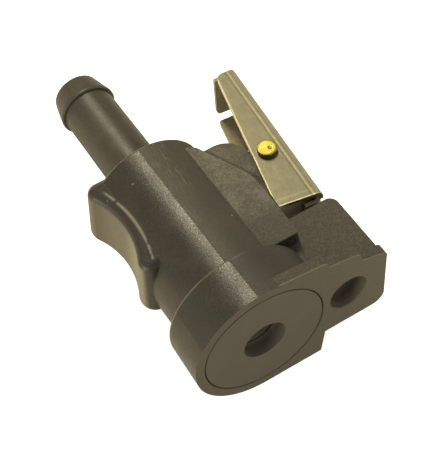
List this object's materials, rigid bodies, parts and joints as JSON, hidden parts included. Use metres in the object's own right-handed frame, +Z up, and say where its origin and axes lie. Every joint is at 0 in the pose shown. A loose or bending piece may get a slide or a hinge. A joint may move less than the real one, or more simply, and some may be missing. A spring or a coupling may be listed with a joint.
{
  "type": "plastic quick disconnect coupling",
  "caption": "Female half of a latching fuel line coupling: moulded body with hose barb, thumb rest and round port insert, closed by a sprung steel latch lever on a brass pin.",
  "frame": {"origin": "centre of the fuel port on the flat mating face", "axes": "+Y runs back through the barrel to the hose barb, +X from the fuel port to the guide hole, +Z up, away from the foot of the front plate"},
  "size_m": [0.043, 0.0727, 0.0295],
  "materials": {
    "black_plastic": "satin black with a trace of olive, fine moulded grain on the saddle and boss",
    "insert_plastic": "flat satin black",
    "seal_rubber": "smooth black rubber",
    "valve_plastic": "smooth moulded",
    "spring_steel": "drawn wire",
    "lever_steel": "dull rolled stainless sheet, bright sheared edges",
    "pin_brass": "turned brass"
  },
  "bodies": {
    "coupling_body": {"housing": "black_plastic", "port_insert": "insert_plastic", "nipple_seal": "seal_rubber", "pivot_pin": "pin_brass", "valve_spring": "spring_steel", "latch_spring": "spring_steel"},
    "latch": {"latch_lever": "lever_steel"},
    "valve": {"valve_poppet": "valve_plastic"}
  },
  "joints": [
    {"name": "latch_hinge", "type": "hinge", "parent": "coupling_body", "child": "latch", "pos_m": [0.02185, 0.0327, 0], "axis": [0, 0, 1], "range_deg": [0, 8], "stiffness_Nm_per_rad": 0.25, "springref_deg": -14.32, "deforming": ["latch_spring"]},
    {"name": "valve_slide", "type": "slide", "parent": "coupling_body", "child": "valve", "axis": [0, 1, 0], "range_m": [0, 0.004], "stiffness_N_per_m": 150, "springref_m": -0.006, "deforming": ["valve_spring"]}
  ]
}
